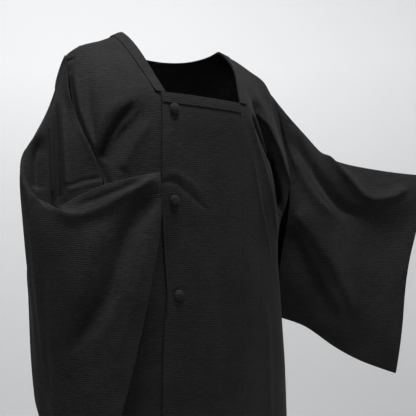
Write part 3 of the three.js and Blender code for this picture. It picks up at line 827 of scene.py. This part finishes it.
def lay_cloth(name):
    """Makes one cloth piece as a thin creased shell on its solid's form."""
    sheet = SHEETS[name]
    cloth = bpy.context.scene.coat_cloth
    wall, thickness = CLOTH_WALL, cloth.thickness
    if name.startswith("neck_frame"):
        wall, thickness = FRAME_WALL, min(cloth.thickness, FRAME_THICKNESS)
    if sheet.whole:
        piece = whole_wall(name + "_cloth", sheet.node)
    else:
        piece = outer_face(name + "_cloth", sheet.node, wall)
    apply_modifier(
        piece,
        "SUBSURF",
        levels=SMOOTHING,
        render_levels=SMOOTHING,
        boundary_smooth="PRESERVE_CORNERS",
    )
    mesh = piece.data
    move_points(mesh, points_of(mesh) + cloth_moves(name, piece, cloth.sag))
    if sheet.keep < 1.0:
        apply_modifier(piece, "DECIMATE", ratio=sheet.keep)
    if not sheet.whole:
        apply_modifier(piece, "SOLIDIFY", thickness=thickness, offset=-1.0, use_rim=True)
    only_selected(piece)
    bpy.ops.object.shade_smooth_by_angle(angle=SMOOTH_ANGLE)
    mesh.materials.append(material_of("crinkled_cloth"))
    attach(piece, BODY)
    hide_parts(sheet.node)


# Buttons.


def button_place(node):
    """A button's middle, its outward direction and its radius and height."""
    points = points_of(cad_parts[node].data)
    middle = (points.min(axis=0) + points.max(axis=0)) / 2.0
    _, _, ways = np.linalg.svd(points - points.mean(axis=0), full_matrices=False)
    outward = ways[2] if ways[2][1] < 0.0 else -ways[2]
    along = (points - middle) @ outward
    off_axis = (points - middle) - along[:, None] * outward
    return Vector(middle), Vector(outward), np.linalg.norm(off_axis, axis=1).max(), np.ptp(along)


def cover_button(name):
    """Makes one domed button covered with cloth that is gathered round its edge."""
    settings = bpy.context.scene.coat_buttons
    middle, outward, radius, height = button_place(name)
    angles = [math.pi / 2.0 * k / DOME_STEPS for k in range(DOME_STEPS + 1)]
    dome = [(math.sin(a) ** DOME_FULLNESS, DOME_FOOT + DOME_RISE * math.cos(a)) for a in angles]
    profile = [(share * radius, rise * height) for share, rise in (*dome, *UNDERSIDE)]
    piece = turned_piece(name + "_cover", profile, settings.turns, BUTTON_MERGE_DISTANCE, False)
    points = points_of(piece.data)
    reach = np.linalg.norm(points[:, :2], axis=1) / radius
    turn = np.arctan2(points[:, 1], points[:, 0])
    crowded = settings.gathers * turn + GATHER_CROWDING * np.sin(GATHER_CROWDS * turn)
    gather = soft((reach - GATHER_START) / GATHER_GROWTH) * np.sin(crowded)
    points[:, :2] *= (1.0 + GATHER_HEIGHT * gather)[:, None] / (1.0 + GATHER_HEIGHT)
    facing = outward.to_track_quat("Z", "Y").to_matrix()
    move_points(piece.data, points @ np.array(facing).T + np.array(middle))
    bpy.ops.object.shade_smooth_by_angle(angle=SMOOTH_ANGLE)
    piece.data.materials.append(material_of("button_cloth"))
    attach(piece, BODY)
    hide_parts(name)


# Stage.


def soft_light(light):
    """Adds a large soft light that looks at its target."""
    data = bpy.data.lights.new(light.name, "AREA")
    data.shape = "DISK"
    data.size = light.size
    data.energy = light.power
    lamp = linked_object(light.name, data)
    lamp.location = light.place
    way = Vector(light.target) - Vector(light.place)
    lamp.rotation_euler = way.to_track_quat("-Z", "Y").to_euler()


def set_camera():
    """Sets the level camera with its shifted lens."""
    data = bpy.data.cameras.new("coat_camera")
    data.sensor_width = SENSOR
    data.lens = FOCAL_PIXELS * SENSOR / PICTURE
    data.shift_x = (PICTURE / 2.0 - AXIS_PLACE[0]) / PICTURE
    data.shift_y = (AXIS_PLACE[1] - PICTURE / 2.0) / PICTURE
    camera = linked_object("coat_camera", data)
    camera.location = EYE
    camera.rotation_euler = (math.pi / 2.0, 0.0, -CAMERA_TURN)
    bpy.context.scene.camera = camera


def set_backdrop(stage):
    """Makes the pale floor that curves up into a round backdrop."""
    floor, flat = stage.floor_height, stage.floor_reach - BACKDROP_BEND
    profile = [(0.0, floor)]
    for k in range(BEND_STEPS + 1):
        angle = math.pi / 2.0 * k / BEND_STEPS
        rise = BACKDROP_BEND * (1.0 - math.cos(angle))
        profile.append((flat + BACKDROP_BEND * math.sin(angle), floor + rise))
    profile.append((stage.floor_reach, floor + BACKDROP_TOP))
    backdrop = turned_piece("backdrop", profile, BACKDROP_TURNS, MILLIMETRE, True)
    bpy.ops.object.shade_smooth()
    backdrop.data.materials.append(plain_paper("stage_paper", stage.paper))


class COAT_OT_body(bpy.types.Operator):
    """Makes the two halves of the coat's body"""

    bl_idname = "coat.body"
    bl_label = "Body"

    def execute(self, context):
        for name in ("body_right", "body_left"):
            lay_cloth(name)
        return {"FINISHED"}


class COAT_OT_bands(bpy.types.Operator):
    """Makes the two overlapping bands of the front"""

    bl_idname = "coat.bands"
    bl_label = "Front bands"

    def execute(self, context):
        for name in ("front_band_lower", "front_band_upper"):
            lay_cloth(name)
        return {"FINISHED"}


class COAT_OT_neck(bpy.types.Operator):
    """Makes the frame round the square neck"""

    bl_idname = "coat.neck"
    bl_label = "Neck frame"

    def execute(self, context):
        for name in ("neck_frame", "neck_frame_front"):
            lay_cloth(name)
        return {"FINISHED"}


class COAT_OT_sleeves(bpy.types.Operator):
    """Makes the two wide sleeves"""

    bl_idname = "coat.sleeves"
    bl_label = "Sleeves"

    def execute(self, context):
        for name in ("sleeve_right", "sleeve_left"):
            lay_cloth(name)
        return {"FINISHED"}


class COAT_OT_buttons(bpy.types.Operator):
    """Makes the covered buttons"""

    bl_idname = "coat.buttons"
    bl_label = "Buttons"

    def execute(self, context):
        for name in BUTTONS:
            cover_button(name)
        return {"FINISHED"}


class COAT_OT_stage(bpy.types.Operator):
    """Makes the floor, the backdrop, the lights and the camera"""

    bl_idname = "coat.stage"
    bl_label = "Stage"

    def execute(self, context):
        scene = context.scene
        set_backdrop(scene.coat_stage)
        for light in LIGHTS:
            soft_light(light)
        world = bpy.data.worlds.new("studio")
        world.use_nodes = True
        sky = world.node_tree.nodes["Background"].inputs
        sky["Color"].default_value = SKY_COLOUR
        sky["Strength"].default_value = SKY_STRENGTH
        scene.world = world
        scene.view_settings.view_transform = "Standard"
        set_camera()
        return {"FINISHED"}


class COAT_PT_panel(bpy.types.Panel):
    """Lists the coat's pieces in the sidebar"""

    bl_idname = "COAT_PT_panel"
    bl_label = "Kimono Coat"
    bl_space_type = "VIEW_3D"
    bl_region_type = "UI"
    bl_category = "Coat"

    def draw(self, context):
        scene = context.scene
        for group in (scene.coat_cloth, scene.coat_buttons, scene.coat_stage):
            for key in group.__annotations__:
                self.layout.prop(group, key)
        for operator in OPERATORS:
            self.layout.operator(operator.bl_idname)


OPERATORS = (
    COAT_OT_body,
    COAT_OT_bands,
    COAT_OT_neck,
    COAT_OT_sleeves,
    COAT_OT_buttons,
    COAT_OT_stage,
)
CLASSES = (CoatCloth, CoatButtons, CoatStage, *OPERATORS, COAT_PT_panel)


def register():
    """Registers the add-on's classes and settings."""
    for each in CLASSES:
        bpy.utils.register_class(each)
    bpy.types.Scene.coat_cloth = PointerProperty(type=CoatCloth)
    bpy.types.Scene.coat_buttons = PointerProperty(type=CoatButtons)
    bpy.types.Scene.coat_stage = PointerProperty(type=CoatStage)


def unregister():
    """Takes the add-on's classes and settings away again."""
    del bpy.types.Scene.coat_stage
    del bpy.types.Scene.coat_buttons
    del bpy.types.Scene.coat_cloth
    for each in reversed(CLASSES):
        bpy.utils.unregister_class(each)


def main():
    """Builds the coat and its stage."""
    register()
    bpy.ops.coat.stage()
    bpy.ops.coat.body()
    bpy.ops.coat.bands()
    bpy.ops.coat.neck()
    bpy.ops.coat.sleeves()
    bpy.ops.coat.buttons()


if __name__ == "__main__":
    main()
